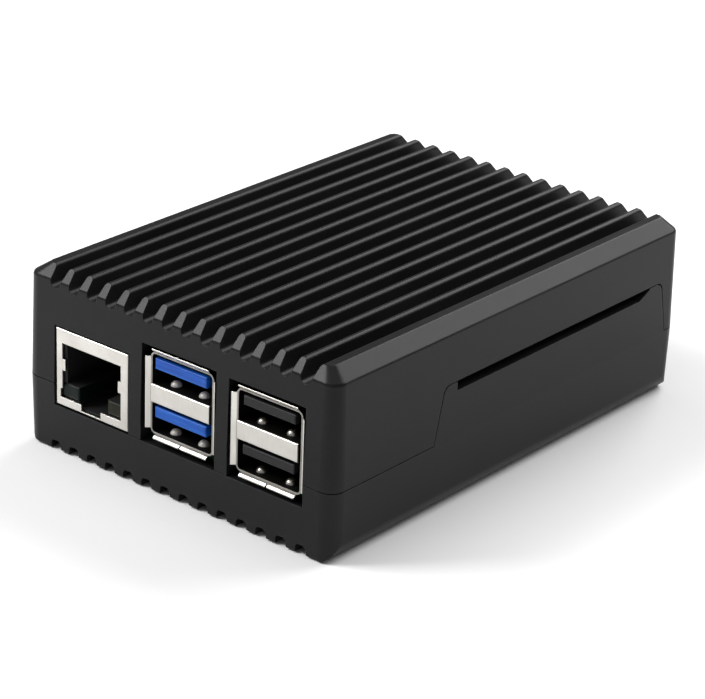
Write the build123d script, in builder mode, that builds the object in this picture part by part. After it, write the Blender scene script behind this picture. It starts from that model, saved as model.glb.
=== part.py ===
from build123d import *
import math
import os

# Fan-less single board computer: a credit-card-sized circuit board clamped between the two halves of a
# finned aluminium case. Millimetres. The origin is under the middle of the case, on the surface that it
# stands on. +X points out of the network and USB sockets, +Y out of the side with the long slot, +Z up.

os.makedirs("parts", exist_ok=True)

# ---------------------------------------------------------------- driving dimensions

CASE_LENGTH = 90.75
CASE_WIDTH = 64.85
CASE_HEIGHT = 31.5
CORNER_RADIUS = 2.7
WALL = 2.3  # side walls, at the seam
DRAFT = 0.022  # how far a wall leans in for each millimetre away from the seam
SEAM_GAP = 0.18

BOARD_LENGTH = 85.0
BOARD_WIDTH = 56.0
BOARD_THICKNESS = 1.5
BOARD_CORNER = (-42.825, -27.725)  # where the board's own corner datum lies in the case
BOARD_TOP = 8.55
BOARD_HOLES = [(3.5, 3.5), (61.5, 3.5), (3.5, 52.5), (61.5, 52.5)]
BOARD_HOLE_RADIUS = 1.35

# Heights above the board's top face
SEAM_HEIGHT = 3.3
SHOULDER_HEIGHT = 20.85  # lower edge of the bevel round the roof
FIN_ROOT_HEIGHT = 19.7
CEILING_HEIGHT = 17.5
INNER_FLOOR_HEIGHT = -4.8
RIDGE_ROOT_HEIGHT = -6.8

END_BEVEL = 1.9  # how far the bevel round the roof leans in, at the ends and at the sides
SIDE_BEVEL = 2.775
SHOULDER_ROUNDING = 0.6  # edge roundings at the bevel's foot and round the roof
ROOF_ROUNDING = 0.4
ROOF_CORNER_RADIUS = 1.2
FOOT_BEVEL = 0.4
FOOT_SIDE_RADIUS = 3.2  # rounding along the two long edges of the base

RIB_PITCH = 4.0  # the fins on the roof and the ridges under the base share one pitch
RIB_SHIFT = 0.275  # and lie this far to the +Y side of the case's middle
GROOVE_COUNT = 14
# Groove sections, as (width at the floor, width at the mouth, floor rounding, mouth rounding)
FIN_GROOVE = (1.9, 2.85, 0.85, 0.6)
BASE_GROOVE = (1.9, 2.3, 0.7, 0.5)

STANDOFF_RADIUS = 3.0
SCREW_RADIUS = 1.25
SCREW_CLEARANCE = 0.05
SCREW_HEAD_RADIUS = 2.25
SCREW_HEAD_HEIGHT = 2.5
SCREW_SEAT_Z = 2.85
SCREW_LENGTH = 12.0
SCREW_SOCKET_RADIUS = 1.15  # corner radius of the 2 mm hexagon socket
COUNTERBORE_RADIUS = 2.6

SEAM_Z = BOARD_TOP + SEAM_HEIGHT
BOARD_X, BOARD_Y = BOARD_CORNER
MIN_ALIGN = (Align.MIN, Align.MIN, Align.MIN)


# ---------------------------------------------------------------- helpers

def save(piece, name):
    """Label a finished piece and write it to a STEP file of its own."""
    piece.part.label = name
    export_step(piece.part, f"parts/{name}.step")


def block(x_span, y_span, z_span, mode=Mode.ADD):
    """Add or cut a block between limits measured from the board's corner and its top face."""
    with Locations((BOARD_X + x_span[0], BOARD_Y + y_span[0], BOARD_TOP + z_span[0])):
        Box(
            x_span[1] - x_span[0],
            y_span[1] - y_span[0],
            z_span[1] - z_span[0],
            align=MIN_ALIGN,
            mode=mode,
        )


def about(middle, width):
    """The span of a given width about a middle."""
    return (middle - width / 2, middle + width / 2)


def board_plane(x=0.0, y=0.0, height=0.0):
    """A level plane at a point measured from the board's corner and its top face."""
    return Plane((BOARD_X + x, BOARD_Y + y, BOARD_TOP + height))


def facing_back(x, y, height):
    """A plane on the board whose normal points to -X, out of the end with the button."""
    return Plane((BOARD_X + x, BOARD_Y + y, BOARD_TOP + height), x_dir=(0, -1, 0), z_dir=(-1, 0, 0))


def facing_side(x, y, height):
    """A plane on the board whose normal points to -Y, out of the side with the power socket."""
    return Plane((BOARD_X + x, BOARD_Y + y, BOARD_TOP + height), x_dir=(1, 0, 0), z_dir=(0, -1, 0))


def outline(z, end_inset, side_inset, radius, shift=0.0):
    """The case's rounded outline at height z, drawn in from its size at the seam."""
    with BuildSketch(Plane.XY.offset(z)) as ring:
        with Locations((0, shift)):
            RectangleRounded(CASE_LENGTH - 2 * end_inset, CASE_WIDTH - 2 * side_inset, radius)
    return ring.sketch


def edges_at_height(builder, z):
    """The edges of a part that lie level at height z."""
    return [
        edge for edge in builder.edges()
        if abs(edge.bounding_box().min.Z - z) < 0.001 and abs(edge.bounding_box().max.Z - z) < 0.001
    ]


# ---------------------------------------------------------------- case shape shared by both halves

shoulder_z = BOARD_TOP + SHOULDER_HEIGHT
shoulder_lean = (shoulder_z - SEAM_Z) * DRAFT
shoulder_radius = CORNER_RADIUS - shoulder_lean
foot_lean = (SEAM_Z - FOOT_BEVEL) * DRAFT
foot_radius = CORNER_RADIUS - foot_lean

seam_outline = outline(SEAM_Z, 0, 0, CORNER_RADIUS)
shoulder_outline = outline(shoulder_z, shoulder_lean, shoulder_lean, shoulder_radius)
roof_outline = outline(
    CASE_HEIGHT, shoulder_lean + END_BEVEL, shoulder_lean + SIDE_BEVEL, ROOF_CORNER_RADIUS, RIB_SHIFT
)
foot_outline = outline(FOOT_BEVEL, foot_lean, foot_lean, foot_radius)
sole_outline = outline(
    0, foot_lean + FOOT_BEVEL, foot_lean + FOOT_BEVEL, foot_radius - FOOT_BEVEL
)

with BuildPart() as upper_envelope:
    loft([seam_outline, shoulder_outline], ruled=True)
    loft([shoulder_outline, roof_outline], ruled=True)
    fillet(edges_at_height(upper_envelope, shoulder_z), SHOULDER_ROUNDING)
    fillet(edges_at_height(upper_envelope, CASE_HEIGHT), ROOF_ROUNDING)

with BuildPart() as lower_envelope:
    loft([sole_outline, foot_outline], ruled=True)
    loft([foot_outline, seam_outline], ruled=True)
    with BuildSketch(Plane.YZ.offset(-CASE_LENGTH)) as foot_section:
        with BuildLine():
            Polyline(
                (-CASE_WIDTH / 2, SEAM_Z),
                (-CASE_WIDTH / 2 + SEAM_Z * DRAFT, 0),
                (CASE_WIDTH / 2 - SEAM_Z * DRAFT, 0),
                (CASE_WIDTH / 2, SEAM_Z),
                close=True,
            )
        make_face()
        fillet(foot_section.vertices().group_by(Axis.Y)[0], FOOT_SIDE_RADIUS)
    extrude(amount=2 * CASE_LENGTH, mode=Mode.INTERSECT)

cavity_length = CASE_LENGTH - 2 * WALL
cavity_width = CASE_WIDTH - 2 * WALL
with BuildSketch(Plane.XY.offset(BOARD_TOP + INNER_FLOOR_HEIGHT)) as cavity_outline:
    RectangleRounded(cavity_length, cavity_width, CORNER_RADIUS - WALL + 0.4)
cavity_height = CEILING_HEIGHT - INNER_FLOOR_HEIGHT


def groove_profiles(groove, floor_z, mouth_z):
    """The row of rounded groove sections across the case, for the roof or for the base."""
    floor_width, mouth_width, floor_rounding, mouth_rounding = groove
    outward = 1 if mouth_z > floor_z else -1
    corners = [
        (-floor_width / 2, floor_z),
        (floor_width / 2, floor_z),
        (mouth_width / 2, mouth_z),
        (-mouth_width / 2, mouth_z),
    ]
    with BuildSketch(Plane.YZ.offset(-CASE_LENGTH)) as profiles:
        with Locations((RIB_SHIFT, 0)):
            with GridLocations(RIB_PITCH, 1, GROOVE_COUNT, 1):
                Polygon(*corners, align=None)
            with Locations((0, mouth_z + outward)):
                Rectangle((GROOVE_COUNT + 1) * RIB_PITCH, 2)
        floor_corners = [point for point in profiles.vertices() if abs(point.Y - floor_z) < 0.001]
        fillet(floor_corners, floor_rounding)
        mouth_corners = [point for point in profiles.vertices() if abs(point.Y - mouth_z) < 0.001]
        fillet(mouth_corners, mouth_rounding)
    return profiles.sketch


# The slotted panel: the lower half's wall rises to the long slot on the +Y side.
PANEL_FRONT = (64.1, 61.6)  # where its front edge meets the seam, and its top
PANEL_BACK = (1.3, 3.0)
PANEL_TOP_HEIGHT = 12.5
PANEL_CORNER_RADIUS = 1.6
SLOT_SPAN = (6.4, 58.65)
SLOT_FLOOR_HEIGHT = 11.0
SLOT_RAMP = 3.0  # the slot's floor slopes up over this length at its back end


def panel_outline(extra):
    """The slotted panel's outline, seen along -Y, grown by extra for the hole it fits in."""
    with BuildSketch(Plane.XZ) as panel:
        with BuildLine():
            Polyline(
                (BOARD_X + PANEL_FRONT[0] + extra, SEAM_Z - extra),
                (BOARD_X + PANEL_FRONT[1] + extra, BOARD_TOP + PANEL_TOP_HEIGHT + extra),
                (BOARD_X + PANEL_BACK[1] - extra, BOARD_TOP + PANEL_TOP_HEIGHT + extra),
                (BOARD_X + PANEL_BACK[0] - extra, SEAM_Z - extra),
                close=True,
            )
        make_face()
        fillet(panel.vertices().group_by(Axis.Y)[-1], PANEL_CORNER_RADIUS)
    return panel.sketch


with BuildPart() as slot_panel:
    add(upper_envelope.part)
    extrude(panel_outline(0), amount=-CASE_WIDTH, mode=Mode.INTERSECT)
    with BuildSketch(Plane.XY.offset(SEAM_Z)):
        with Locations((0, -WALL)):
            Rectangle(CASE_LENGTH, CASE_WIDTH)
    extrude(amount=CASE_HEIGHT, mode=Mode.SUBTRACT)
    with BuildSketch(Plane.XZ):
        with BuildLine():
            Polyline(
                (BOARD_X + SLOT_SPAN[0], BOARD_TOP + PANEL_TOP_HEIGHT + 1),
                (BOARD_X + SLOT_SPAN[0], BOARD_TOP + PANEL_TOP_HEIGHT - 0.2),
                (BOARD_X + SLOT_SPAN[0] + SLOT_RAMP, BOARD_TOP + SLOT_FLOOR_HEIGHT),
                (BOARD_X + SLOT_SPAN[1], BOARD_TOP + SLOT_FLOOR_HEIGHT),
                (BOARD_X + SLOT_SPAN[1], BOARD_TOP + PANEL_TOP_HEIGHT + 1),
                close=True,
            )
        make_face()
    extrude(amount=-CASE_WIDTH, mode=Mode.SUBTRACT)

# Sockets in the front wall, as (y span, top height), and the step that they stand in
NETWORK_CUTOUT = ((1.9, 18.3), 13.5)
USB3_CUTOUT = ((20.9, 36.5), 16.25)
USB2_CUTOUT = ((39.0, 54.3), 16.0)
CUTOUT_FLOOR_HEIGHT = -0.4
POST_FOOT_HEIGHT = -0.25
FRONT_WALL_SPAN = (85.9, 90.0)

# Plug openings in the -Y wall, as (middle x, width)
USB_C_X = 11.2
HDMI_XS = (25.8, 39.2)
PLUG_OPENINGS = [(USB_C_X, 12.6), (HDMI_XS[0], 11.6), (HDMI_XS[1], 11.6)]
PLUG_OPENING_HEIGHT = 6.8
PLUG_OPENING_MIDDLE = 1.6


def plug_openings():
    """The rounded openings for the power and display plugs, on the -Y wall."""
    with BuildSketch(facing_side(0, -7, PLUG_OPENING_MIDDLE)) as openings:
        for middle, width in PLUG_OPENINGS:
            with Locations((middle, 0)):
                RectangleRounded(width, PLUG_OPENING_HEIGHT, 1.6)
    return openings.sketch


# ---------------------------------------------------------------- chips and the pads above them

# name: (middle x, middle y, length, width, height, pad thickness)
CHIPS = {
    "processor": (30.5, 31.0, 17.0, 17.0, 2.2, 0.8),
    "memory_chip": (46.6, 31.0, 12.0, 14.0, 1.0, 1.0),
    "io_controller": (61.8, 32.5, 14.0, 14.0, 1.4, 1.0),
    "power_controller": (12.5, 20.5, 7.0, 7.0, 0.9, 1.0),
    "wireless_can": (9.5, 42.4, 11.0, 9.0, 1.6, 0.8),
}
PAD_MARGIN = 0.75  # each pad stops this far inside its chip's edges
PILLAR_MARGIN = 0.25

# ---------------------------------------------------------------- power button and status light

BUTTON_Y = 18.0
BUTTON_HEIGHT = 1.35
BUTTON_WIDTH = 5.0
BUTTON_DEPTH = 2.5
BUTTON_CLEARANCE = 0.1
BUTTON_FLANGE = 0.7
BACK_WALL_X = -CASE_LENGTH / 2 - BOARD_X  # outer face of the -X wall at the seam
BUTTON_RECESS = 0.17
BUTTON_OUTER_X = BACK_WALL_X + BUTTON_RECESS
BUTTON_FLANGE_X = (-1.5, -0.9)
LIGHT_Y = 11.6
LIGHT_HEIGHT = 1.3
LIGHT_RADIUS = 1.0
LIGHT_PIPE_ROOT_X = -0.3

# ---------------------------------------------------------------- top half

with BuildPart() as top_shell:
    add(upper_envelope.part)
    extrude(groove_profiles(FIN_GROOVE, BOARD_TOP + FIN_ROOT_HEIGHT, CASE_HEIGHT),
            amount=2 * CASE_LENGTH, mode=Mode.SUBTRACT)
    extrude(cavity_outline.sketch, amount=cavity_height, mode=Mode.SUBTRACT)
    extrude(panel_outline(SEAM_GAP), amount=-CASE_WIDTH, mode=Mode.SUBTRACT)
    with BuildSketch(Plane.XY.offset(SEAM_Z)):
        Rectangle(CASE_LENGTH, CASE_WIDTH)
    extrude(amount=SEAM_GAP, mode=Mode.SUBTRACT)
    # Posts between the sockets reach down past the seam into the lower half's step.
    post_lean = (SEAM_HEIGHT - POST_FOOT_HEIGHT) * DRAFT
    for low_y, high_y in (
        (NETWORK_CUTOUT[0][1], USB3_CUTOUT[0][0]),
        (USB3_CUTOUT[0][1], USB2_CUTOUT[0][0]),
    ):
        with BuildSketch(Plane.XZ.offset(-(BOARD_Y + high_y))):
            with BuildLine():
                Polyline(
                    (CASE_LENGTH / 2 - WALL, SEAM_Z + 1),
                    (CASE_LENGTH / 2 - DRAFT, SEAM_Z + 1),
                    (CASE_LENGTH / 2, SEAM_Z),
                    (CASE_LENGTH / 2 - post_lean, BOARD_TOP + POST_FOOT_HEIGHT),
                    (CASE_LENGTH / 2 - WALL, BOARD_TOP + POST_FOOT_HEIGHT),
                    close=True,
                )
            make_face()
        extrude(amount=high_y - low_y)
    for y_span, top_height in (NETWORK_CUTOUT, USB3_CUTOUT, USB2_CUTOUT):
        block(FRONT_WALL_SPAN, y_span, (CUTOUT_FLOOR_HEIGHT, top_height), mode=Mode.SUBTRACT)
    extrude(plug_openings(), amount=-6, mode=Mode.SUBTRACT)
    # Pillars carry heat from the chips to the roof.
    for x, y, length, width, height, pad in CHIPS.values():
        block(
            about(x, length - 2 * PILLAR_MARGIN),
            about(y, width - 2 * PILLAR_MARGIN),
            (height + pad, CEILING_HEIGHT + 0.5),
        )
    with BuildSketch(board_plane()):
        with Locations(BOARD_HOLES):
            Circle(STANDOFF_RADIUS)
    extrude(amount=CEILING_HEIGHT + 0.5)
    with BuildSketch(board_plane()):
        with Locations(BOARD_HOLES):
            Circle(SCREW_RADIUS + SCREW_CLEARANCE)
    extrude(amount=SCREW_LENGTH, mode=Mode.SUBTRACT)
save(top_shell, "top_shell")

# ---------------------------------------------------------------- bottom half

CARD_Y = 28.0
CARD_SLOT_WIDTH = 14.0
CARD_OPENING = (-3.5, -1.3)
THUMB_SCOOP = (6.5, 3.9)  # half width and depth below the opening
THUMB_DEPTH = 1.3

with BuildPart() as bottom_shell:
    add(lower_envelope.part)
    extrude(groove_profiles(BASE_GROOVE, BOARD_TOP + RIDGE_ROOT_HEIGHT, 0),
            amount=2 * CASE_LENGTH, mode=Mode.SUBTRACT)
    extrude(cavity_outline.sketch, amount=cavity_height, mode=Mode.SUBTRACT)
    add(slot_panel.part)
    block(
        FRONT_WALL_SPAN,
        (NETWORK_CUTOUT[0][0], USB2_CUTOUT[0][1]),
        (CUTOUT_FLOOR_HEIGHT, SEAM_HEIGHT + 1),
        mode=Mode.SUBTRACT,
    )
    extrude(plug_openings(), amount=-6, mode=Mode.SUBTRACT)
    # Standoffs under the board, each with a full rim round its counterbore
    with BuildSketch():
        with Locations([(BOARD_X + x, BOARD_Y + y) for x, y in BOARD_HOLES]):
            Circle(COUNTERBORE_RADIUS + 1.2)
    extrude(amount=BOARD_TOP + INNER_FLOOR_HEIGHT)
    with BuildSketch(Plane.XY.offset(BOARD_TOP + INNER_FLOOR_HEIGHT)):
        with Locations([(BOARD_X + x, BOARD_Y + y) for x, y in BOARD_HOLES]):
            Circle(STANDOFF_RADIUS)
    extrude(amount=-INNER_FLOOR_HEIGHT - BOARD_THICKNESS)
    with Locations([(BOARD_X + x, BOARD_Y + y, 0) for x, y in BOARD_HOLES]):
        Cylinder(SCREW_RADIUS + 0.15, BOARD_TOP, mode=Mode.SUBTRACT,
                 align=(Align.CENTER, Align.CENTER, Align.MIN))
        Cylinder(COUNTERBORE_RADIUS, SCREW_SEAT_Z, mode=Mode.SUBTRACT,
                 align=(Align.CENTER, Align.CENTER, Align.MIN))
    # Memory card opening in the -X wall, with a thumb scoop below it
    block((-4, 0), about(CARD_Y, CARD_SLOT_WIDTH), CARD_OPENING, mode=Mode.SUBTRACT)
    with BuildSketch(facing_back(BACK_WALL_X + THUMB_DEPTH, CARD_Y, CARD_OPENING[0])):
        Ellipse(*THUMB_SCOOP)
        with Locations((0, THUMB_SCOOP[1])):
            Rectangle(2 * CARD_SLOT_WIDTH, 2 * THUMB_SCOOP[1], mode=Mode.SUBTRACT)
    extrude(amount=4, mode=Mode.SUBTRACT)
    # Hole and inner pocket for the power button, and the hole for the light pipe
    with BuildSketch(facing_back(0, BUTTON_Y, BUTTON_HEIGHT)):
        SlotOverall(BUTTON_WIDTH + 2 * BUTTON_CLEARANCE, BUTTON_DEPTH + 2 * BUTTON_CLEARANCE)
    extrude(amount=4, mode=Mode.SUBTRACT)
    block(
        (BUTTON_FLANGE_X[0], 0),
        about(BUTTON_Y, BUTTON_WIDTH + 2 * BUTTON_FLANGE + 0.4),
        (BUTTON_HEIGHT - BUTTON_DEPTH / 2 - BUTTON_FLANGE - 0.2, SEAM_HEIGHT + 1),
        mode=Mode.SUBTRACT,
    )
    with BuildSketch(facing_back(0, LIGHT_Y, LIGHT_HEIGHT)):
        Circle(LIGHT_RADIUS + 0.02)
    extrude(amount=4, mode=Mode.SUBTRACT)
save(bottom_shell, "bottom_shell")

# ---------------------------------------------------------------- screws

with BuildPart() as case_screws:
    for x, y in BOARD_HOLES:
        centre = (BOARD_X + x, BOARD_Y + y)
        with BuildSketch(Plane.XY.offset(SCREW_SEAT_Z - SCREW_HEAD_HEIGHT)):
            with Locations(centre):
                Circle(SCREW_HEAD_RADIUS)
        extrude(amount=SCREW_HEAD_HEIGHT)
        with BuildSketch(Plane.XY.offset(SCREW_SEAT_Z)):
            with Locations(centre):
                Circle(SCREW_RADIUS)
        extrude(amount=SCREW_LENGTH)
    chamfer(case_screws.edges().group_by(Axis.Z)[0], 0.3)
    chamfer(case_screws.edges().group_by(Axis.Z)[-1], 0.3)
    with BuildSketch(Plane.XY.offset(SCREW_SEAT_Z - SCREW_HEAD_HEIGHT)):
        with Locations([(BOARD_X + x, BOARD_Y + y) for x, y in BOARD_HOLES]):
            RegularPolygon(SCREW_SOCKET_RADIUS, 6)
    extrude(amount=1.4, mode=Mode.SUBTRACT)
save(case_screws, "case_screws")

# ---------------------------------------------------------------- circuit board and its chips

with BuildPart() as mainboard:
    with BuildSketch(board_plane(BOARD_LENGTH / 2, BOARD_WIDTH / 2, -BOARD_THICKNESS)):
        RectangleRounded(BOARD_LENGTH, BOARD_WIDTH, 3.0)
        with Locations([(x - BOARD_LENGTH / 2, y - BOARD_WIDTH / 2) for x, y in BOARD_HOLES]):
            Circle(BOARD_HOLE_RADIUS, mode=Mode.SUBTRACT)
    extrude(amount=BOARD_THICKNESS)
save(mainboard, "mainboard")

for chip_name, (x, y, length, width, height, pad) in CHIPS.items():
    with BuildPart() as chip:
        with BuildSketch(board_plane(x, y)):
            Rectangle(length, width)
        extrude(amount=height / 2)
        with BuildSketch(board_plane(x, y, height / 2)):
            Rectangle(length - 1, width - 1)
        extrude(amount=height / 2)
        chamfer(chip.edges().group_by(Axis.Z)[-1], 0.15)
    save(chip, chip_name)
    with BuildPart() as thermal_pad:
        with BuildSketch(board_plane(x, y, height)):
            Rectangle(length - 2 * PAD_MARGIN, width - 2 * PAD_MARGIN)
        extrude(amount=pad)
    save(thermal_pad, f"{chip_name}_thermal_pad")

INDUCTOR_PLACES = [(20.0, 14.0), (20.0, 20.5), (20.0, 27.0), (8.5, 26.6)]
with BuildPart() as power_inductors:
    for x, y in INDUCTOR_PLACES:
        with BuildSketch(board_plane(x, y)):
            RectangleRounded(3.0, 3.0, 0.4)
        extrude(amount=1.8)
        chamfer(power_inductors.edges(Select.LAST).group_by(Axis.Z)[-1], 0.25)
save(power_inductors, "power_inductors")

with BuildPart() as ceramic_capacitors:
    for x in range(24, 40, 3):
        for y in (19.5, 43.0):
            block(about(x, 1.6), about(y, 0.8), (0, 0.8))
save(ceramic_capacitors, "ceramic_capacitors")

with BuildPart() as crystal:
    with BuildSketch(board_plane(56.5, 43.0)):
        RectangleRounded(3.2, 2.5, 0.4)
    extrude(amount=0.8)
save(crystal, "crystal")

# ---------------------------------------------------------------- network socket

SHEET = 0.3  # thickness of the sockets' folded sheet metal
SOCKET_FRONT_X = 88.15
NETWORK_Y = 10.2
NETWORK_WIDTH = 15.7
NETWORK_LENGTH = 21.2
NETWORK_HEIGHT = 13.25
NETWORK_WINDOW_Y = (3.7, 16.6)
NETWORK_WINDOW_HEIGHT = (1.45, 10.9)
LATCH_NOTCH_Y = (7.9, 12.2)
LATCH_NOTCH_FLOOR = 0.35
INSERT_RECESS = 0.55
PLUG_CAVITY_WIDTH = 11.8
PLUG_CAVITY_HEIGHT = (3.95, 10.6)
LATCH_CAVITY = (6.2, 0.6)  # width, and the height of its floor
PLUG_CAVITY_DEPTH = 14.0
GROUND_TAB_HEIGHT = (6.2, 8.15)
LIGHT_PIPE_SIZE = (3.7, 2.3)  # width and height
LIGHT_PIPE_EDGE = 0.4  # how far each one runs behind the edge of the window

network_back = SOCKET_FRONT_X - NETWORK_LENGTH
network_sides = about(NETWORK_Y, NETWORK_WIDTH)
with BuildPart() as ethernet_shield:
    block((network_back, SOCKET_FRONT_X), network_sides, (0, NETWORK_HEIGHT))
    fillet(ethernet_shield.faces().sort_by(Axis.X)[-1].edges(), 0.25)
    block(
        (network_back + SHEET, SOCKET_FRONT_X - SHEET),
        (network_sides[0] + SHEET, network_sides[1] - SHEET),
        (-1, NETWORK_HEIGHT - SHEET),
        mode=Mode.SUBTRACT,
    )
    block((SOCKET_FRONT_X - 1, SOCKET_FRONT_X + 1), NETWORK_WINDOW_Y, NETWORK_WINDOW_HEIGHT,
          mode=Mode.SUBTRACT)
    block((SOCKET_FRONT_X - 1, SOCKET_FRONT_X + 1), LATCH_NOTCH_Y, (LATCH_NOTCH_FLOOR, 2),
          mode=Mode.SUBTRACT)
    # The window is a little wider at its lower left corner.
    block((SOCKET_FRONT_X - 1, SOCKET_FRONT_X + 1), (3.3, 5), (NETWORK_WINDOW_HEIGHT[0], 3.0),
          mode=Mode.SUBTRACT)
    # Grounding tabs folded in from both sides of the window
    for edge_y, turn in ((NETWORK_WINDOW_Y[0], 1), (NETWORK_WINDOW_Y[1], -1)):
        tab_y = sorted((edge_y - 0.2 * turn, edge_y + 0.65 * turn))
        block((SOCKET_FRONT_X - 0.32, SOCKET_FRONT_X - 0.02), tab_y, GROUND_TAB_HEIGHT)
save(ethernet_shield, "ethernet_shield")

insert_x = (network_back + SHEET + 0.1, SOCKET_FRONT_X - INSERT_RECESS)
insert_y = (network_sides[0] + SHEET + 0.1, network_sides[1] - SHEET - 0.1)
cavity_x = (insert_x[1] - PLUG_CAVITY_DEPTH, insert_x[1] + 1)
pipe_inset = LIGHT_PIPE_SIZE[0] / 2 - LIGHT_PIPE_EDGE
pipe_ys = (NETWORK_WINDOW_Y[0] + pipe_inset, NETWORK_WINDOW_Y[1] - pipe_inset)
pipe_z = (NETWORK_WINDOW_HEIGHT[0] + 0.1, NETWORK_WINDOW_HEIGHT[0] + 0.1 + LIGHT_PIPE_SIZE[1])
with BuildPart() as ethernet_insert:
    block(insert_x, insert_y, (0.1, NETWORK_HEIGHT - SHEET - 0.1))
    block(cavity_x, about(NETWORK_Y, PLUG_CAVITY_WIDTH), PLUG_CAVITY_HEIGHT, mode=Mode.SUBTRACT)
    block(cavity_x, about(NETWORK_Y, LATCH_CAVITY[0]), (LATCH_CAVITY[1], PLUG_CAVITY_HEIGHT[1]),
          mode=Mode.SUBTRACT)
    for pipe_y in pipe_ys:
        block((insert_x[0] + 3, insert_x[1] + 1), about(pipe_y, LIGHT_PIPE_SIZE[0] + 0.2),
              (pipe_z[0] - 0.05, pipe_z[1] + 0.05), mode=Mode.SUBTRACT)
save(ethernet_insert, "ethernet_insert")

for pipe_name, pipe_y in zip(("link_light_pipe", "activity_light_pipe"), pipe_ys):
    with BuildPart() as light_pipe:
        block((insert_x[0] + 3.1, insert_x[1] + 0.1), about(pipe_y, LIGHT_PIPE_SIZE[0]), pipe_z)
        fillet(light_pipe.faces().sort_by(Axis.X)[-1].edges(), 0.3)
    save(light_pipe, f"ethernet_{pipe_name}")

CONTACT_PITCH = 1.02
CONTACT_TIP_HEIGHT = 7.7
with BuildPart() as ethernet_contacts:
    for step in range(8):
        contact_y = NETWORK_Y + (step - 3.5) * CONTACT_PITCH
        with BuildSketch(Plane.XZ.offset(-(BOARD_Y + contact_y + 0.2))):
            with BuildLine():
                Polyline(
                    (BOARD_X + insert_x[1] - 2.7, BOARD_TOP + PLUG_CAVITY_HEIGHT[1]),
                    (BOARD_X + insert_x[1] - 2.3, BOARD_TOP + PLUG_CAVITY_HEIGHT[1]),
                    (BOARD_X + insert_x[1] - 8.6, BOARD_TOP + CONTACT_TIP_HEIGHT),
                    (BOARD_X + insert_x[1] - 9.0, BOARD_TOP + CONTACT_TIP_HEIGHT),
                    close=True,
                )
            make_face()
        extrude(amount=0.4)
save(ethernet_contacts, "ethernet_contacts")

# ---------------------------------------------------------------- stacked USB sockets

USB_FLARE_START_X = 87.6
USB_BACK_X = 70.6
USB_OPENING_WIDTH = 12.5
USB_LIP_REACH = 7.25  # half the spread of the side lips
USB_LIP_SHEET = 0.22
USB_SIDE_LIP_STOP = 0.55  # each lip stops short of the opening's corners
USB_ROOF_LIP_STOP = 0.35
USB_FLOOR_LIP_STOP = 0.7
USB_ROOF_LIP_RISE = 0.8
USB_FLOOR_LIP_DROP = 0.55
USB_FLOOR_LIP_ROOT = 0.15  # the floor lip starts this far below the floor's inner face
USB_LIP_SPLIT = 0.26  # the floor lip is split in the middle, with a scored line along it
USB_LIP_SCORE = 0.18
USB_CORNER_RADIUS = 0.7  # inside each corner of the opening
USB_PORT_HEIGHTS = ((1.7, 6.8), (9.9, 15.0))
USB_DIVIDER_GAP = 0.4  # the divider stops short of one side wall
USB_TONGUE_TOP = 0.65  # gap above each tongue
USB_TONGUE_FRONT_X = 87.7
USB_TONGUE_ROOT_X = 78.5
USB_SPRING_Y = 2.95
USB_SPRING_X = 85.6
USB_SPRING_RADIUS = 0.95  # each spring's round tip is the cap of a ball
USB_SPRING_HEIGHT = 0.8


def flared_lip(corners, start, length, along_z):
    """Add one flared lip: corners in the plane that it is bent in, swept over its length."""
    if along_z:
        plane = Plane.XY.offset(start)
    else:
        plane = Plane.XZ.offset(-start - length)
    with BuildSketch(plane) as section:
        with BuildLine():
            Polyline(*corners, close=True)
        make_face()
    extrude(section.sketch, amount=length)


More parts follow.
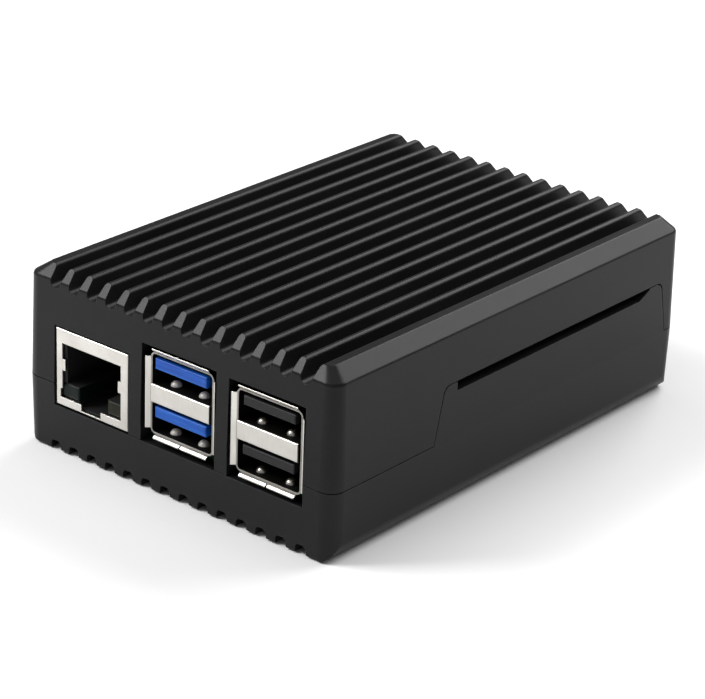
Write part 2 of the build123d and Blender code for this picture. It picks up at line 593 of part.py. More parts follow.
def usb_shell(middle_y, lift):
    """The folded sheet-metal shell of a two-high USB socket, with its divider and lips."""
    inside = about(middle_y, USB_OPENING_WIDTH)
    floor_z = USB_PORT_HEIGHTS[0][0] + lift
    roof_z = USB_PORT_HEIGHTS[1][1] + lift
    divider_z = (USB_PORT_HEIGHTS[0][1] + lift, USB_PORT_HEIGHTS[1][0] + lift)
    mouth = Plane(
        (BOARD_X + USB_FLARE_START_X, BOARD_Y + middle_y, BOARD_TOP + (floor_z + roof_z) / 2),
        x_dir=(0, 1, 0),
        z_dir=(1, 0, 0),
    )
    with BuildPart() as shell:
        with BuildSketch(mouth):
            RectangleRounded(
                USB_OPENING_WIDTH + 2 * SHEET, roof_z - floor_z + 2 * SHEET, USB_CORNER_RADIUS + SHEET
            )
        extrude(amount=USB_BACK_X - USB_FLARE_START_X)
        with BuildSketch(mouth):
            RectangleRounded(USB_OPENING_WIDTH, roof_z - floor_z, USB_CORNER_RADIUS)
        extrude(amount=USB_BACK_X - USB_FLARE_START_X + SHEET, mode=Mode.SUBTRACT)
        # Side walls run down to the board.
        for wall_y in (inside[0] - SHEET, inside[1]):
            block((USB_BACK_X, USB_FLARE_START_X - 1), (wall_y, wall_y + SHEET), (0, floor_z + 1))
        # Folded divider between the two ports, hollow from behind
        divider_y = (inside[0], inside[1] - USB_DIVIDER_GAP)
        block((USB_TONGUE_ROOT_X, USB_FLARE_START_X + 0.3), divider_y, divider_z)
        block((0, USB_FLARE_START_X), (divider_y[0] + SHEET, divider_y[1] - SHEET),
              (divider_z[0] + SHEET, divider_z[1] - SHEET), mode=Mode.SUBTRACT)
        fillet(shell.edges().filter_by(Axis.Y).group_by(Axis.X)[-1], SHEET * 0.8)
        # Side lips, then the roof and floor lips
        flare_x = (BOARD_X + USB_FLARE_START_X - 0.2, BOARD_X + SOCKET_FRONT_X)
        for turn in (-1, 1):
            near_y = BOARD_Y + middle_y + turn * USB_OPENING_WIDTH / 2
            far_y = BOARD_Y + middle_y + turn * (USB_LIP_REACH - USB_LIP_SHEET)
            flared_lip(
                [(flare_x[0], near_y), (flare_x[1], far_y), (flare_x[1], far_y + turn * USB_LIP_SHEET),
                 (flare_x[0], near_y + turn * USB_LIP_SHEET)],
                BOARD_TOP + floor_z + USB_SIDE_LIP_STOP,
                roof_z - floor_z - 2 * USB_SIDE_LIP_STOP,
                along_z=True,
            )
        for near_z, rise, stop in (
            (roof_z, USB_ROOF_LIP_RISE, USB_ROOF_LIP_STOP),
            (floor_z - USB_FLOOR_LIP_ROOT, -USB_FLOOR_LIP_DROP, USB_FLOOR_LIP_STOP),
        ):
            sheet = math.copysign(USB_LIP_SHEET, rise)
            near_z += BOARD_TOP
            flared_lip(
                [(flare_x[0], near_z), (flare_x[1], near_z + rise), (flare_x[1], near_z + rise + sheet),
                 (flare_x[0], near_z + sheet)],
                BOARD_Y + inside[0] + stop,
                USB_OPENING_WIDTH - 2 * stop,
                along_z=False,
            )
        lip_x = (USB_FLARE_START_X, SOCKET_FRONT_X)
        lip_z = (floor_z - USB_FLOOR_LIP_DROP - 2 * SHEET, floor_z + 0.1)
        block(lip_x, about(middle_y, USB_LIP_SPLIT), lip_z, mode=Mode.SUBTRACT)
        block(
            (lip_x[0], lip_x[0] + USB_LIP_SCORE),
            about(middle_y, USB_OPENING_WIDTH),
            (floor_z - USB_FLOOR_LIP_ROOT - 2 * USB_LIP_SCORE, floor_z + 0.1),
            mode=Mode.SUBTRACT,
        )
    return shell


def usb_springs(middle_y, lift):
    """Two round-tipped earthing springs on the floor of each port."""
    sink = USB_SPRING_RADIUS - USB_SPRING_HEIGHT
    cut_latitude = math.degrees(math.asin(sink / USB_SPRING_RADIUS))
    with BuildPart() as springs:
        for port_floor in (USB_PORT_HEIGHTS[0][0] + lift, USB_PORT_HEIGHTS[1][0] + lift):
            for spring_y in (middle_y - USB_SPRING_Y, middle_y + USB_SPRING_Y):
                with Locations(board_plane(USB_SPRING_X, spring_y, port_floor)):
                    Sphere(
                        USB_SPRING_RADIUS,
                        arc_size1=cut_latitude,
                        align=(Align.CENTER, Align.CENTER, Align.MIN),
                    )
    return springs


def usb_insulator(middle_y, lift):
    """The moulded block behind both ports."""
    with BuildPart() as insulator:
        for low, high in USB_PORT_HEIGHTS:
            block(
                (USB_BACK_X + SHEET, USB_TONGUE_ROOT_X),
                about(middle_y, USB_OPENING_WIDTH - 2 * USB_CORNER_RADIUS),
                (low + lift, high + lift),
            )
    return insulator


def usb_tongues(middle_y, lift, tongue_span, thickness):
    """The two contact-carrying tongues, tongue_span being their edges from the socket's middle."""
    with BuildPart() as tongues:
        for low, high in USB_PORT_HEIGHTS:
            top_z = high + lift - USB_TONGUE_TOP
            block(
                (USB_TONGUE_ROOT_X, USB_TONGUE_FRONT_X),
                (middle_y + tongue_span[0], middle_y + tongue_span[1]),
                (top_z - thickness, top_z),
            )
        fillet(tongues.faces().group_by(Axis.X)[-1].edges(), 0.25)
    return tongues


def usb_contacts(middle_y, lift, offsets, thickness):
    """Spring contacts under each tongue, at the given offsets from the socket's middle."""
    with BuildPart() as contacts:
        for low, high in USB_PORT_HEIGHTS:
            under_z = high + lift - USB_TONGUE_TOP - thickness
            for offset_y in offsets:
                block(
                    (USB_TONGUE_ROOT_X, USB_TONGUE_FRONT_X - 0.6),
                    about(middle_y + offset_y, 0.9),
                    (under_z - 0.15, under_z),
                )
    return contacts


USB3_Y = 29.1
USB3_LIFT = 0.0
USB3_TONGUE = (-5.6, 5.1)
USB3_TONGUE_THICKNESS = 1.84
USB3_CONTACT_OFFSETS = (-4.0, -2.0, 0.0, 2.0, 4.0)
USB2_Y = 46.95
USB2_LIFT = -0.35
USB2_TONGUE = (-5.2, 5.1)
USB2_TONGUE_THICKNESS = 1.6
USB2_CONTACT_OFFSETS = (-3.5, -1.0, 1.0, 3.5)

for socket_name, middle_y, lift, tongue_span, thickness, offsets in (
    ("usb3", USB3_Y, USB3_LIFT, USB3_TONGUE, USB3_TONGUE_THICKNESS, USB3_CONTACT_OFFSETS),
    ("usb2", USB2_Y, USB2_LIFT, USB2_TONGUE, USB2_TONGUE_THICKNESS, USB2_CONTACT_OFFSETS),
):
    save(usb_shell(middle_y, lift), f"{socket_name}_shell")
    save(usb_springs(middle_y, lift), f"{socket_name}_springs")
    save(usb_insulator(middle_y, lift), f"{socket_name}_insulator")
    save(usb_tongues(middle_y, lift, tongue_span, thickness), f"{socket_name}_tongues")
    save(usb_contacts(middle_y, lift, offsets, thickness), f"{socket_name}_contacts")

# ---------------------------------------------------------------- power and display sockets

USB_C_WIDTH = 8.94
USB_C_HEIGHT = 3.16
USB_C_DEPTH = 7.3
SIDE_SOCKET_FRONT_Y = -1.2

with BuildPart() as usb_c_shell:
    with BuildSketch(facing_side(USB_C_X, SIDE_SOCKET_FRONT_Y, USB_C_HEIGHT / 2)) as c_outline:
        SlotOverall(USB_C_WIDTH, USB_C_HEIGHT)
    extrude(amount=-USB_C_DEPTH)
    with BuildSketch(facing_side(USB_C_X, SIDE_SOCKET_FRONT_Y, USB_C_HEIGHT / 2)):
        SlotOverall(USB_C_WIDTH - 2 * SHEET, USB_C_HEIGHT - 2 * SHEET)
    extrude(amount=-USB_C_DEPTH + SHEET, mode=Mode.SUBTRACT)
save(usb_c_shell, "usb_c_shell")

with BuildPart() as usb_c_tongue:
    with BuildSketch(
        facing_side(USB_C_X, SIDE_SOCKET_FRONT_Y + USB_C_DEPTH - 1.5, USB_C_HEIGHT / 2)
    ):
        SlotOverall(USB_C_WIDTH - 2 * SHEET - 0.1, USB_C_HEIGHT - 2 * SHEET - 0.1)
    extrude(amount=-1.1)
    with BuildSketch(
        facing_side(USB_C_X, SIDE_SOCKET_FRONT_Y + USB_C_DEPTH - 1.5, USB_C_HEIGHT / 2)
    ):
        Rectangle(6.7, 0.7)
    extrude(amount=5.0)
save(usb_c_tongue, "usb_c_tongue")

HDMI_WIDTH = 6.5
HDMI_HEIGHT = 3.0
HDMI_DEPTH = 7.2
HDMI_CHAMFER = 0.8


def hdmi_section(x, y, shrink):
    """A micro-size display socket's section: its two lower corners are cut off."""
    with BuildSketch(facing_side(x, y, HDMI_HEIGHT / 2)) as section:
        Rectangle(HDMI_WIDTH - 2 * shrink, HDMI_HEIGHT - 2 * shrink)
        chamfer(section.vertices().group_by(Axis.Y)[0], HDMI_CHAMFER - shrink / 2)
    return section.sketch


for number, socket_x in enumerate(HDMI_XS, start=1):
    with BuildPart() as hdmi_shell:
        extrude(hdmi_section(socket_x, SIDE_SOCKET_FRONT_Y, 0), amount=-HDMI_DEPTH)
        extrude(
            hdmi_section(socket_x, SIDE_SOCKET_FRONT_Y, SHEET),
            amount=-HDMI_DEPTH + SHEET,
            mode=Mode.SUBTRACT,
        )
    save(hdmi_shell, f"micro_hdmi_{number}_shell")
    root_y = SIDE_SOCKET_FRONT_Y + HDMI_DEPTH - 1.5
    with BuildPart() as hdmi_tongue:
        extrude(hdmi_section(socket_x, root_y, SHEET + 0.05), amount=-1.1)
        with BuildSketch(facing_side(socket_x, root_y, HDMI_HEIGHT / 2 + 0.15)):
            Rectangle(4.4, 0.6)
        extrude(amount=4.8)
    save(hdmi_tongue, f"micro_hdmi_{number}_tongue")

# ---------------------------------------------------------------- pin headers

PIN_PITCH = 2.54
PIN_SIZE = 0.64
PIN_TOP = 8.5
HEADER_HEIGHT = 2.5
HEADERS = {
    "gpio_header": (32.5, 52.5, 20, 2),
    "poe_header": (62.4, 10.6, 2, 2),
}

for header_name, (x, y, columns, rows) in HEADERS.items():
    with BuildPart() as header_base:
        with BuildSketch(board_plane(x, y)):
            Rectangle(columns * PIN_PITCH, rows * PIN_PITCH)
            with GridLocations(PIN_PITCH, PIN_PITCH, columns, rows):
                Rectangle(PIN_SIZE, PIN_SIZE, mode=Mode.SUBTRACT)
        extrude(amount=HEADER_HEIGHT)
    save(header_base, f"{header_name}_base")
    with BuildPart() as header_pins:
        with BuildSketch(board_plane(x, y)):
            with GridLocations(PIN_PITCH, PIN_PITCH, columns, rows):
                Rectangle(PIN_SIZE, PIN_SIZE)
        extrude(amount=PIN_TOP)
        chamfer(header_pins.edges().group_by(Axis.Z)[-1], 0.18)
    save(header_pins, f"{header_name}_pins")

# ---------------------------------------------------------------- ribbon connectors with lifting latches

RIBBON_BODY_WIDTH = 3.4
RIBBON_BODY_HEIGHT = 3.4
RIBBON_SLOT_WIDTH = 0.9
LATCH_THICKNESS = 1.1
LATCH_LEG = 0.7
LATCH_LEG_DROP = 1.6
LATCH_CLEARANCE = 0.05
RIBBON_CONNECTORS = {
    "camera_display_1": (47.0, 10.5, 13.5),
    "camera_display_2": (54.0, 10.5, 13.5),
    "expansion": (4.2, 32.2, 9.5),
}

for connector_name, (x, y, span) in RIBBON_CONNECTORS.items():
    with BuildPart() as ribbon_housing:
        block(about(x, RIBBON_BODY_WIDTH), about(y, span), (0, RIBBON_BODY_HEIGHT))
        block(about(x, RIBBON_SLOT_WIDTH), about(y, span - 1.6), (0.8, 5), mode=Mode.SUBTRACT)
    save(ribbon_housing, f"{connector_name}_connector")
    bar_z = (RIBBON_BODY_HEIGHT, RIBBON_BODY_HEIGHT + LATCH_THICKNESS)
    with BuildPart() as ribbon_latch:
        block(about(x, 2.4), about(y, span + 2 * (LATCH_CLEARANCE + LATCH_LEG)), bar_z)
        for leg_y in (
            y - span / 2 - LATCH_CLEARANCE - LATCH_LEG / 2,
            y + span / 2 + LATCH_CLEARANCE + LATCH_LEG / 2,
        ):
            block(about(x, 2.0), about(leg_y, LATCH_LEG), (bar_z[0] - LATCH_LEG_DROP, bar_z[1]))
        block(about(x, RIBBON_SLOT_WIDTH), about(y, span - 1.6), (0, 6), mode=Mode.SUBTRACT)
    save(ribbon_latch, f"{connector_name}_latch")

# ---------------------------------------------------------------- small lead connectors

# name: (middle x, middle y, length along X, length along Y, pin count)
LEAD_CONNECTORS = {
    "clock_battery_connector": (18.6, 3.2, 4.0, 4.2, 2),
    "debug_connector": (32.5, 3.2, 5.0, 4.2, 3),
    "fan_connector": (67.4, 46.5, 4.2, 6.0, 4),
}
LEAD_HEIGHT = 2.9

for connector_name, (x, y, length, width, pin_count) in LEAD_CONNECTORS.items():
    with BuildPart() as lead_connector:
        block(about(x, length), about(y, width), (0, LEAD_HEIGHT))
        block(about(x, length - 0.9), about(y, width - 0.9), (0.8, 5), mode=Mode.SUBTRACT)
        for step in range(pin_count):
            place = (step - (pin_count - 1) / 2) * 1.0
            pin_x = x + (place if length > width or pin_count < 4 else 0)
            pin_y = y + (place if pin_count == 4 else 0)
            block(about(pin_x, 0.4), about(pin_y, 0.4), (0.5, 2.4))
    save(lead_connector, connector_name)

# ---------------------------------------------------------------- memory card slot under the board

CARD_SOCKET_X = (0.1, 12.1)
CARD_SOCKET_Z = (-BOARD_THICKNESS - 1.5, -BOARD_THICKNESS)
with BuildPart() as card_socket:
    block(CARD_SOCKET_X, about(CARD_Y, 12.6), CARD_SOCKET_Z)
    block(
        (-1, CARD_SOCKET_X[1] - SHEET),
        about(CARD_Y, 11.4),
        (CARD_SOCKET_Z[0] + 0.2, CARD_SOCKET_Z[1] - 0.3),
        mode=Mode.SUBTRACT,
    )
save(card_socket, "memory_card_socket")

with BuildPart() as card_contacts:
    for step in range(8):
        contact_y = CARD_Y + (step - 3.5) * 1.1
        block((7.5, 11.7), about(contact_y, 0.6), (CARD_SOCKET_Z[1] - 0.45, CARD_SOCKET_Z[1] - 0.3))
save(card_contacts, "memory_card_contacts")

# ---------------------------------------------------------------- power button, switch and light

BUTTON_TRAVEL = 0.3
PLUNGER_SIZE = (2.2, 0.9)
PLUNGER_X = (BUTTON_FLANGE_X[1], 1.0)
SWITCH_X = (0.1, 3.2)

with BuildPart() as power_button:
    with BuildSketch(facing_back(BUTTON_FLANGE_X[0], BUTTON_Y, BUTTON_HEIGHT)):
        SlotOverall(BUTTON_WIDTH, BUTTON_DEPTH)
    extrude(amount=BUTTON_FLANGE_X[0] - BUTTON_OUTER_X)
    fillet(power_button.faces().sort_by(Axis.X)[0].edges(), 0.3)
    with BuildSketch(facing_back(BUTTON_FLANGE_X[1], BUTTON_Y, BUTTON_HEIGHT)):
        SlotOverall(BUTTON_WIDTH + 2 * BUTTON_FLANGE, BUTTON_DEPTH + 2 * BUTTON_FLANGE)
    extrude(amount=BUTTON_FLANGE_X[1] - BUTTON_FLANGE_X[0])
save(power_button, "power_button")

with BuildPart() as power_switch:
    block(SWITCH_X, about(BUTTON_Y, 4.6), (0, 2.4))
    block(
        (0, PLUNGER_X[1] + BUTTON_TRAVEL + 0.1),
        about(BUTTON_Y, PLUNGER_SIZE[0] + 0.1),
        about(BUTTON_HEIGHT, PLUNGER_SIZE[1] + 0.1),
        mode=Mode.SUBTRACT,
    )
save(power_switch, "power_switch")

with BuildPart() as switch_plunger:
    block(PLUNGER_X, about(BUTTON_Y, PLUNGER_SIZE[0]), about(BUTTON_HEIGHT, PLUNGER_SIZE[1]))
save(switch_plunger, "switch_plunger")

with BuildPart() as status_light_pipe:
    with BuildSketch(facing_back(LIGHT_PIPE_ROOT_X, LIGHT_Y, LIGHT_HEIGHT)):
        Circle(LIGHT_RADIUS)
    extrude(amount=LIGHT_PIPE_ROOT_X - BUTTON_OUTER_X)
    fillet(status_light_pipe.faces().sort_by(Axis.X)[0].edges(), 0.25)
save(status_light_pipe, "status_light_pipe")

with BuildPart() as status_light:
    block((0.3, 1.3), about(LIGHT_Y, 1.6), (0, 0.7))
save(status_light, "status_light")
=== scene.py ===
import math

import bpy
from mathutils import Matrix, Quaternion, Vector


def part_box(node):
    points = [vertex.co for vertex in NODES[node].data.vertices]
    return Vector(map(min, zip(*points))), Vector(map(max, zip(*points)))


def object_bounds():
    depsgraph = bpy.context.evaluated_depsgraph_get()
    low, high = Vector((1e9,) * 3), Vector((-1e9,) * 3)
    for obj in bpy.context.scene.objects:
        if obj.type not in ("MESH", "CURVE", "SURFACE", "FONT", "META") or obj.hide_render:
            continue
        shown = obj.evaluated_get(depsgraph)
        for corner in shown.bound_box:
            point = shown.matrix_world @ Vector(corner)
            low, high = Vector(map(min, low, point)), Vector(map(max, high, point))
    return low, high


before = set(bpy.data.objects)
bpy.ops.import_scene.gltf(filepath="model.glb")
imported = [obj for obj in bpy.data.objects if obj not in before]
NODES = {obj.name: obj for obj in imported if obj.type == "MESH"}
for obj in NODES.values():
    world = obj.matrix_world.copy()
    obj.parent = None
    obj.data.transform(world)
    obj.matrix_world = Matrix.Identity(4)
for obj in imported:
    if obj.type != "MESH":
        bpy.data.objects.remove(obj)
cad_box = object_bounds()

MM = 0.001

# The stretch of a noise's output that a remap spreads over its whole range. A narrower stretch
# gives harder contrast.
NOISE_MIDDLE = (0.35, 0.65)
NOISE_BROAD = (0.3, 0.7)
NOISE_RAISED = (0.35, 0.7)

BEVEL_SAMPLES = 6
# The coat's edges are lightened, partly as rubbed-through coat and partly as a painted highlight.
WEAR_AND_HIGHLIGHT_COSINES = (0.995, 0.86)  # softened against true normal: where the rubbed and painted-highlight edge begins, where it is full
WORN_AND_HIGHLIGHT_COLOUR = (0.07, 0.07, 0.074)
WEAR_AND_HIGHLIGHT_STRENGTH = 0.45
SPECK_GAIN = 1.9  # the coat's specks are this much lighter than its light tone
SPECK_STRENGTH = 0.35

SHEET_EDGE = 0.12 * MM
MOULDING_EDGE = 0.08 * MM
LIGHT_PIPE_EDGE = 0.15 * MM

SOCKET_SHADE_DEPTH = 0.45 * MM  # painted shade: the USB shells are painted dark from this far behind their front
SOCKET_SHADE_BLEND = 0.2 * MM
SOCKET_SHADE_COLOUR = (0.012, 0.012, 0.011)
SOCKET_SHADE_ROUGHNESS = 0.35

FLOOR_HALF = 2.5
FLOOR_GAP = 0.00002  # the floor lies this far below the part
WORLD_STRENGTH = 0.2

LIGHT_TARGET = (0, 0, 0.015)
SOFTBOXES = (
    # name, azimuth and elevation in degrees, distance, width and height in metres, watts
    ("overhead", -30, 78, 0.8, 1.0, 1.0, 2.4),
    ("front_left", -51, 41, 0.9, 0.38, 0.34, 6.6),
    ("back_right", 170, 39, 0.9, 0.9, 0.56, 8.4),
)

CAMERA_PLACE = (0.33049, 0.26593, 0.19867)
VIEW_AZIMUTH = 38.994
VIEW_ELEVATION = 23.820
VIEW_ROLL = 2.233
FOCAL_LENGTH = 142.8
SENSOR_WIDTH = 36.0
CLIP_START = 0.01


# ------------------------------------------------------------------ node helpers

class Surface:
    """One procedural material: a Principled shader and short calls that add nodes to it."""

    def __init__(self, name):
        self.material = bpy.data.materials.new(name)
        self.material.use_nodes = True
        self.tree = self.material.node_tree
        self.shader = self.tree.nodes["Principled BSDF"]
        self.place = self.node("ShaderNodeTexCoord").outputs["Object"]

    def node(self, kind, **settings):
        made = self.tree.nodes.new(kind)
        for key, value in settings.items():
            setattr(made, key, value)
        return made

    def feed(self, socket, value):
        """Link an output to a socket, or set the socket's own value.

        A value set on a socket that is already linked has no effect: the link wins.
        """
        if isinstance(value, bpy.types.NodeSocket):
            self.tree.links.new(value, socket)
        else:
            socket.default_value = value

    def stretched(self, scale):
        """Object coordinates scaled by a different factor along each axis."""
        mapping = self.node("ShaderNodeMapping")
        self.feed(mapping.inputs["Vector"], self.place)
        mapping.inputs["Scale"].default_value = scale
        return mapping.outputs["Vector"]

    def noise(self, scale, detail=3.0, rough=0.5, vector=None):
        made = self.node("ShaderNodeTexNoise")
        self.feed(made.inputs["Vector"], vector or self.place)
        made.inputs["Scale"].default_value = scale
        made.inputs["Detail"].default_value = detail
        made.inputs["Roughness"].default_value = rough
        return made.outputs["Fac"]

    def streaks(self, stretch):
        """Noise drawn out into lines, by a different scale along each axis."""
        return self.noise(1.0, detail=4.0, rough=0.6, vector=self.stretched(stretch))

    def remap(self, value, span, to=(0.0, 1.0)):
        """Spread the part of a value between span's two ends over the range of to, clamped."""
        made = self.node("ShaderNodeMapRange", clamp=True)
        self.feed(made.inputs["Value"], value)
        ends = ("From Min", "From Max", "To Min", "To Max")
        for key, end in zip(ends, (*span, *to)):
            made.inputs[key].default_value = end
        return made.outputs["Result"]

    def math(self, operation, first, second):
        made = self.node("ShaderNodeMath", operation=operation)
        self.feed(made.inputs[0], first)
        self.feed(made.inputs[1], second)
        return made.outputs["Value"]

    def blend(self, factor, first, second):
        """Mix two colours, each given as (r, g, b) or an output."""
        made = self.node("ShaderNodeMix", data_type="RGBA")
        self.feed(made.inputs["Factor"], factor)
        for key, colour in (("A", first), ("B", second)):
            socket = [s for s in made.inputs if s.name == key and s.type == "RGBA"][0]
            self.feed(socket, (*colour, 1.0) if isinstance(colour, tuple) else colour)
        return [s for s in made.outputs if s.type == "RGBA"][0]

    def bump(self, height, distance, strength, normal=None):
        made = self.node("ShaderNodeBump")
        self.feed(made.inputs["Height"], height)
        made.inputs["Distance"].default_value = distance
        made.inputs["Strength"].default_value = strength
        if normal:
            self.feed(made.inputs["Normal"], normal)
        return made.outputs["Normal"]

    def soft_edges(self, radius):
        """A normal that turns smoothly over the edges, as a small rounding does."""
        made = self.node("ShaderNodeBevel", samples=BEVEL_SAMPLES)
        made.inputs["Radius"].default_value = radius
        return made.outputs["Normal"]

    def edge_wear_and_highlight(self, soft_normal):
        """1 along sharp edges, 0 on flats, from how far the softened normal leaves the true one."""
        facing = self.node("ShaderNodeNewGeometry").outputs["Normal"]
        dot = self.node("ShaderNodeVectorMath", operation="DOT_PRODUCT")
        self.feed(dot.inputs[0], soft_normal)
        self.feed(dot.inputs[1], facing)
        return self.remap(dot.outputs["Value"], WEAR_AND_HIGHLIGHT_COSINES)

    def set(self, **values):
        for key, value in values.items():
            socket = self.shader.inputs[key.replace("_", " ")]
            is_colour = isinstance(value, tuple) and len(value) == 3
            self.feed(socket, (*value, 1.0) if is_colour else value)


def dress(surface, *names):
    """Give CAD nodes a material in every slot."""
    for name in names:
        slots = NODES[name].material_slots
        if not slots:
            NODES[name].data.materials.append(surface.material)
        for one in slots:
            one.material = surface.material


# ------------------------------------------------------------------ kinds of material

def coated_metal(name, base, light, grain_scale, grain_depth, edge_radius):
    """Black-coated metal: fine bead-blasted grain, soft cloudiness, edges rubbed lighter and
    brightened by a painted highlight.
    """
    coat = Surface(name)
    soft = coat.soft_edges(edge_radius)
    wear_and_highlight = coat.edge_wear_and_highlight(soft)
    cloud = coat.noise(55.0, detail=4.0, rough=0.55)
    fine = coat.noise(grain_scale, detail=2.0, rough=0.6)
    tone = coat.blend(coat.remap(cloud, NOISE_MIDDLE), base, light)
    speck = coat.remap(fine, (0.45, 0.75), (0.0, SPECK_STRENGTH))
    tone = coat.blend(speck, tone, tuple(SPECK_GAIN * c for c in light))
    # Painted highlight and rubbed coat along edges: the tone is lightened where the softened normal
    # turns away.
    patches = coat.remap(coat.noise(420.0), NOISE_RAISED, (0.25, 1.0))
    worn_and_highlit = coat.math("MULTIPLY", coat.math("MULTIPLY", wear_and_highlight, patches), WEAR_AND_HIGHLIGHT_STRENGTH)
    tone = coat.blend(worn_and_highlit, tone, WORN_AND_HIGHLIGHT_COLOUR)
    rough = coat.math(
        "ADD",
        coat.remap(cloud, NOISE_BROAD, (0.30, 0.37)),
        coat.remap(fine, NOISE_BROAD, (-0.03, 0.05)),
    )
    coat.set(
        Base_Color=tone,
        Roughness=rough,
        Normal=coat.bump(fine, grain_depth, strength=0.5, normal=soft),
        Metallic=0.0,
        Specular_IOR_Level=0.14,
    )
    return coat


def plated_sheet(name, stretch, dark_behind=None, gilt=None):
    """Satin plate on folded sheet: rolling lines, faint stains and softened edges.

    At X below dark_behind the plate is painted dark and dull: painted shade, as deep in a socket.
    The plate is nickel, or drifts between the two golds in gilt.
    """
    plate = Surface(name)
    lines = plate.streaks(stretch)
    cloud = plate.noise(260.0)
    soft = plate.soft_edges(SHEET_EDGE)
    if gilt:
        tone = plate.blend(plate.noise(900.0), *gilt)
    else:
        stain = plate.remap(cloud, NOISE_RAISED)
        tone = plate.blend(stain, (0.66, 0.64, 0.60), (0.60, 0.575, 0.53))
        line = plate.remap(lines, (0.55, 0.8), (0.0, 0.25))
        tone = plate.blend(line, tone, (0.46, 0.44, 0.40))
    rough = plate.math(
        "ADD",
        plate.remap(lines, NOISE_BROAD, (0.27, 0.38)),
        plate.remap(cloud, NOISE_BROAD, (-0.03, 0.04)),
    )
    # Painted shade: behind dark_behind the plate's colour is blended to a dark tone and made
    # duller, as deep in a socket.
    if dark_behind is not None:
        along = plate.node("ShaderNodeSeparateXYZ")
        plate.feed(along.inputs["Vector"], plate.place)
        blend_over = (dark_behind - SOCKET_SHADE_BLEND, dark_behind)
        painted_shade = plate.remap(along.outputs["X"], blend_over, (1.0, 0.0))
        tone = plate.blend(painted_shade, tone, SOCKET_SHADE_COLOUR)
        duller = plate.math("MULTIPLY", painted_shade, SOCKET_SHADE_ROUGHNESS)
        rough = plate.math("ADD", rough, duller)
    plate.set(
        Base_Color=tone,
        Roughness=rough,
        Metallic=1.0,
        Normal=plate.bump(lines, 0.006 * MM, strength=0.4, normal=soft),
    )
    return plate


def moulded(name, base, light, rough, grain=3200.0, depth=0.01 * MM, flow=None):
    """Moulded plastic with a fine spark-eroded texture and a little colour drift.

    flow stretches the drift into the streaks that melt leaves as it fills a mould.
    """
    plastic = Surface(name)
    drift = plastic.streaks(flow) if flow else plastic.noise(180.0)
    fine = plastic.noise(grain, rough=0.6)
    plastic.set(
        Base_Color=plastic.blend(plastic.remap(drift, NOISE_MIDDLE), base, light),
        Roughness=plastic.remap(fine, NOISE_BROAD, rough),
        Normal=plastic.bump(fine, depth, strength=0.5, normal=plastic.soft_edges(MOULDING_EDGE)),
    )
    return plastic


def light_pipe(name, tint, deep):
    """A tinted glossy moulding, opaque."""
    pipe = Surface(name)
    streak = pipe.noise(600.0)
    pipe.set(
        Base_Color=pipe.blend(pipe.remap(streak, NOISE_BROAD), tint, deep),
        Roughness=pipe.remap(streak, NOISE_BROAD, (0.35, 0.5)),
        Specular_IOR_Level=0.15,
        Normal=pipe.bump(
            streak, 0.01 * MM, strength=0.4, normal=pipe.soft_edges(LIGHT_PIPE_EDGE)
        ),
    )
    return pipe


def circuit_board():
    """Green solder mask over a faint brick pattern that stands for the copper tracks."""
    board = Surface("circuit_board")
    grid = board.node("ShaderNodeTexBrick", offset=0.37, squash=0.6, squash_frequency=3)
    board.feed(grid.inputs["Vector"], board.place)
    grid.inputs["Scale"].default_value = 420.0
    grid.inputs["Mortar Size"].default_value = 0.035
    cloud = board.noise(300.0, detail=4.0)
    tone = board.blend(grid.outputs["Fac"], (0.006, 0.075, 0.030), (0.012, 0.125, 0.052))
    shade = board.remap(cloud, (0.5, 0.8), (0.0, 0.4))
    board.set(
        Base_Color=board.blend(shade, tone, (0.004, 0.05, 0.02)),
        Roughness=board.remap(cloud, NOISE_BROAD, (0.26, 0.4)),
        Normal=board.bump(grid.outputs["Fac"], 0.02 * MM, strength=0.5),
    )
    return board


# ------------------------------------------------------------------ materials on the nodes

case_coat = coated_metal(
    "black_case_coat",
    base=(0.0090, 0.0090, 0.0094),
    light=(0.0125, 0.0125, 0.0130),
    grain_scale=5200.0,
    grain_depth=0.02 * MM,
    edge_radius=0.16 * MM,
)
dress(case_coat, "top_shell", "bottom_shell")

button_coat = coated_metal(
    "black_button_coat",
    base=(0.014, 0.014, 0.015),
    light=(0.02, 0.02, 0.021),
    grain_scale=4000.0,
    grain_depth=0.008 * MM,
    edge_radius=0.1 * MM,
)
dress(button_coat, "power_button")

screw_steel = coated_metal(
    "black_oxide_steel",
    base=(0.02, 0.02, 0.021),
    light=(0.032, 0.032, 0.034),
    grain_scale=6000.0,
    grain_depth=0.006 * MM,
    edge_radius=0.1 * MM,
)
screw_steel.set(Metallic=0.85)
dress(screw_steel, "case_screws")

plate = plated_sheet("nickel_plate", (300.0, 300.0, 5200.0))
dress(
    plate, "ethernet_shield", "usb_c_shell", "micro_hdmi_1_shell", "micro_hdmi_2_shell",
    "memory_card_socket", "wireless_can", "crystal", "processor",
)
spring_plate = plated_sheet("nickel_plate_springs", (2500.0, 2500.0, 2500.0))
spring_plate.set(Metallic=0.1, Specular_IOR_Level=1.0)
dress(spring_plate, "usb3_springs")
dark_spring_plate = plated_sheet("nickel_plate_dark_springs", (2500.0, 2500.0, 2500.0))
dress(dark_spring_plate, "usb2_springs")
# Painted shade deep in the USB shells: their plate is painted dark behind the mouth.
socket_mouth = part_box("usb3_shell")[1][0] - SOCKET_SHADE_DEPTH
shell_plate = plated_sheet("nickel_plate_shells_painted_shade", (300.0, 5200.0, 300.0), socket_mouth)
dress(shell_plate, "usb3_shell", "usb2_shell")

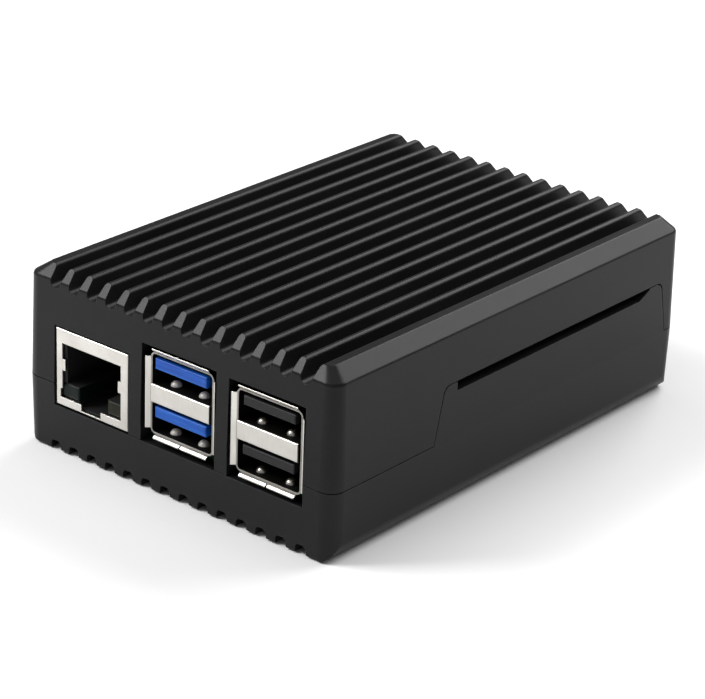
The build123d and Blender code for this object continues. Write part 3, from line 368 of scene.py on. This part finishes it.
blue = moulded(
    "blue_plastic", (0.003, 0.055, 0.36), (0.008, 0.115, 0.50), (0.34, 0.5),
    flow=(900.0, 120.0, 2600.0),
)
blue.set(Specular_IOR_Level=0.3)
dress(blue, "usb3_tongues")
black = moulded("black_plastic", (0.008, 0.008, 0.0083), (0.013, 0.013, 0.0135), (0.42, 0.6))
black.set(Specular_IOR_Level=0.35)
dress(
    black, "ethernet_insert", "usb3_insulator", "usb2_insulator", "usb_c_tongue",
    "micro_hdmi_1_tongue", "micro_hdmi_2_tongue", "gpio_header_base", "poe_header_base",
    "camera_display_1_latch", "camera_display_2_latch", "expansion_latch", "power_switch",
)
grey_black = moulded(
    "tongue_black_plastic", (0.009, 0.0088, 0.0095), (0.014, 0.0135, 0.015), (0.45, 0.6)
)
grey_black.set(Specular_IOR_Level=0.3)
dress(grey_black, "usb2_tongues")
cream = moulded("cream_plastic", (0.72, 0.67, 0.56), (0.80, 0.76, 0.66), (0.35, 0.5))
dress(
    cream, "camera_display_1_connector", "camera_display_2_connector", "expansion_connector",
    "clock_battery_connector", "debug_connector", "fan_connector", "switch_plunger",
)
ceramic = moulded("ceramic", (0.42, 0.31, 0.21), (0.55, 0.44, 0.33), (0.4, 0.6))
dress(ceramic, "ceramic_capacitors")
package = moulded(
    "chip_package", (0.018, 0.018, 0.019), (0.026, 0.026, 0.027), (0.5, 0.7), grain=5200.0
)
dress(package, "memory_chip", "io_controller", "power_controller", "power_inductors")
pad = moulded(
    "thermal_pad", (0.42, 0.50, 0.56), (0.50, 0.58, 0.63), (0.7, 0.9), grain=1500.0, depth=0.03 * MM
)
dress(pad, *[name for name in NODES if name.endswith("thermal_pad")])

gold = plated_sheet(
    "gold_flash", (900.0, 900.0, 900.0), gilt=((0.80, 0.56, 0.20), (0.88, 0.68, 0.32))
)
dress(
    gold, "ethernet_contacts", "usb3_contacts", "usb2_contacts", "gpio_header_pins",
    "poe_header_pins", "memory_card_contacts",
)

green_pipe = light_pipe("green_pipe", (0.004, 0.010, 0.0075), (0.0025, 0.006, 0.005))
dress(green_pipe, "ethernet_link_light_pipe")
amber_pipe = light_pipe("amber_pipe", (0.016, 0.015, 0.007), (0.008, 0.0078, 0.005))
dress(amber_pipe, "ethernet_activity_light_pipe")
clear_pipe = light_pipe("clear_pipe", (0.55, 0.57, 0.58), (0.45, 0.47, 0.48))
dress(clear_pipe, "status_light_pipe", "status_light")

dress(circuit_board(), "mainboard")


# ------------------------------------------------------------------ floor, light and camera

def link(made):
    bpy.context.scene.collection.objects.link(made)


def towards(azimuth, elevation):
    """The unit vector from the object in a direction given in degrees."""
    turn, lift = math.radians(azimuth), math.radians(elevation)
    level = math.cos(lift)
    return Vector((math.cos(turn) * level, math.sin(turn) * level, math.sin(lift)))


def floor():
    """A plain pale floor with the faintest grain."""
    mesh = bpy.data.meshes.new("floor")
    corners = [(-1, -1), (1, -1), (1, 1), (-1, 1)]
    mesh.from_pydata([(FLOOR_HALF * x, FLOOR_HALF * y, 0) for x, y in corners], [], [(0, 1, 2, 3)])
    made = bpy.data.objects.new("floor", mesh)
    link(made)
    paint = Surface("floor_paint")
    cloud = paint.noise(9.0, detail=4.0)
    paint.set(
        Base_Color=paint.blend(cloud, (0.90, 0.90, 0.90), (0.93, 0.93, 0.93)),
        Roughness=paint.remap(cloud, NOISE_BROAD, (0.75, 0.9)),
        Specular_IOR_Level=0.2,
    )
    mesh.materials.append(paint.material)
    made.location.z = cad_box[0][2] - FLOOR_GAP


def studio():
    """Even white light from all round."""
    world = bpy.data.worlds.new("studio")
    world.use_nodes = True
    background = world.node_tree.nodes["Background"]
    background.inputs["Color"].default_value = (1.0, 1.0, 1.0, 1.0)
    background.inputs["Strength"].default_value = WORLD_STRENGTH
    bpy.context.scene.world = world


def softbox(name, azimuth, elevation, distance, width, height, power):
    """An area light that faces the object, placed by its direction from it."""
    way = towards(azimuth, elevation)
    lamp = bpy.data.lights.new(name, "AREA")
    lamp.shape = "RECTANGLE"
    lamp.size = width
    lamp.size_y = height
    lamp.energy = power
    made = bpy.data.objects.new(name, lamp)
    made.location = Vector(LIGHT_TARGET) + way * distance
    made.rotation_euler = (-way).to_track_quat("-Z", "Y").to_euler()
    link(made)


def camera():
    """A camera placed where the photo's was, as solved from the photo."""
    lens = bpy.data.cameras.new("camera")
    lens.sensor_width = SENSOR_WIDTH
    lens.lens = FOCAL_LENGTH
    lens.clip_start = CLIP_START
    made = bpy.data.objects.new("camera", lens)
    level = (-towards(VIEW_AZIMUTH, VIEW_ELEVATION)).to_track_quat("-Z", "Y")
    made.rotation_mode = "QUATERNION"
    made.rotation_quaternion = level @ Quaternion((0, 0, 1), math.radians(VIEW_ROLL))
    made.location = CAMERA_PLACE
    link(made)
    bpy.context.scene.camera = made


floor()
studio()
for settings in SOFTBOXES:
    softbox(*settings)
camera()
bpy.context.scene.view_settings.view_transform = "Standard"
